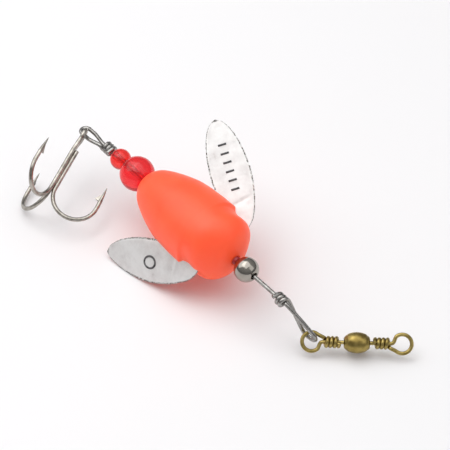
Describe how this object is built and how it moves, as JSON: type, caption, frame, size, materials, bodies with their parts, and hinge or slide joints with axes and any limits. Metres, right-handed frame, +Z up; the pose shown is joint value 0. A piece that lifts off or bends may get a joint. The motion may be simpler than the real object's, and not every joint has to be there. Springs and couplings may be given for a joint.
{
  "type": "inline spinner",
  "caption": "Float-bodied inline spinner: two-winged egg float and beads spin on a wire shaft between a treble hook and a barrel swivel.",
  "frame": {"origin": "middle of the bottom of the bounding box, with the lure lying at rest on a flat surface", "axes": "+X along the shaft wire towards the towing end, +Z up, +Y to the left when looking along +X"},
  "size_m": [0.0708, 0.031, 0.0192],
  "materials": {
    "stainless": "bright drawn stainless wire",
    "red_tube": "dark red liner tube",
    "orange": "fluorescent orange, gloss",
    "wing_film": "silver-white metallised sheet, creased",
    "red_bead": "translucent red",
    "nickel": "polished nickel plate",
    "hook_tin": "tinned hook wire",
    "braze": "plated braze",
    "brass": "antique brass",
    "brass_wire": "antique brass wire"
  },
  "bodies": {
    "shaft": {"shaft_wire": "stainless"},
    "stack": {"bore_tube": "red_tube"},
    "float": {"float_rear": "orange", "float_nose": "orange", "wing_right": "wing_film", "wing_left": "wing_film"},
    "small_bead": {"bead_small_red": "red_bead"},
    "large_bead": {"bead_large_red": "red_bead"},
    "front_bead": {"bead_nickel": "nickel"},
    "hook": {"hook_double": "hook_tin", "hook_single": "hook_tin", "hook_braze": "braze"},
    "eye_lure": {"swivel_eye_lure": "brass_wire"},
    "barrel": {"swivel_barrel": "brass"},
    "eye_line": {"swivel_eye_line": "brass_wire"}
  },
  "joints": [
    {"name": "stack_slide", "type": "slide", "parent": "shaft", "child": "stack", "axis": [1, 0, 0], "range_m": [0, 0.0045]},
    {"name": "float_spin", "type": "hinge", "parent": "stack", "child": "float", "pos_m": [-0.00029, 0.001, 0.00899], "axis": [1, 0, 0], "continuous": true},
    {"name": "small_bead_spin", "type": "hinge", "parent": "stack", "child": "small_bead", "pos_m": [-0.02349, 0.001, 0.00899], "axis": [1, 0, 0], "continuous": true},
    {"name": "large_bead_spin", "type": "hinge", "parent": "stack", "child": "large_bead", "pos_m": [-0.01892, 0.001, 0.00899], "axis": [1, 0, 0], "continuous": true},
    {"name": "front_bead_spin", "type": "hinge", "parent": "stack", "child": "front_bead", "pos_m": [0.00987, 0.001, 0.00899], "axis": [1, 0, 0], "continuous": true},
    {"name": "hook_swing", "type": "hinge", "parent": "shaft", "child": "hook", "pos_m": [-0.03271, 0.0006, 0.00899], "axis": [0, 0, -1], "range_deg": [0, 150]},
    {"name": "swivel_swing", "type": "hinge", "parent": "shaft", "child": "eye_lure", "pos_m": [0.02332, 0.00309, 0.00339], "axis": [-0.149, 0.948, 0.2814], "range_deg": [-60, 30]},
    {"name": "barrel_spin", "type": "hinge", "parent": "eye_lure", "child": "barrel", "pos_m": [0.02898, 0.00836, 0.00259], "axis": [0.6595, 0.7517, 0], "continuous": true},
    {"name": "line_eye_spin", "type": "hinge", "parent": "barrel", "child": "eye_line", "pos_m": [0.02898, 0.00836, 0.00259], "axis": [0.6595, 0.7517, 0], "continuous": true}
  ]
}
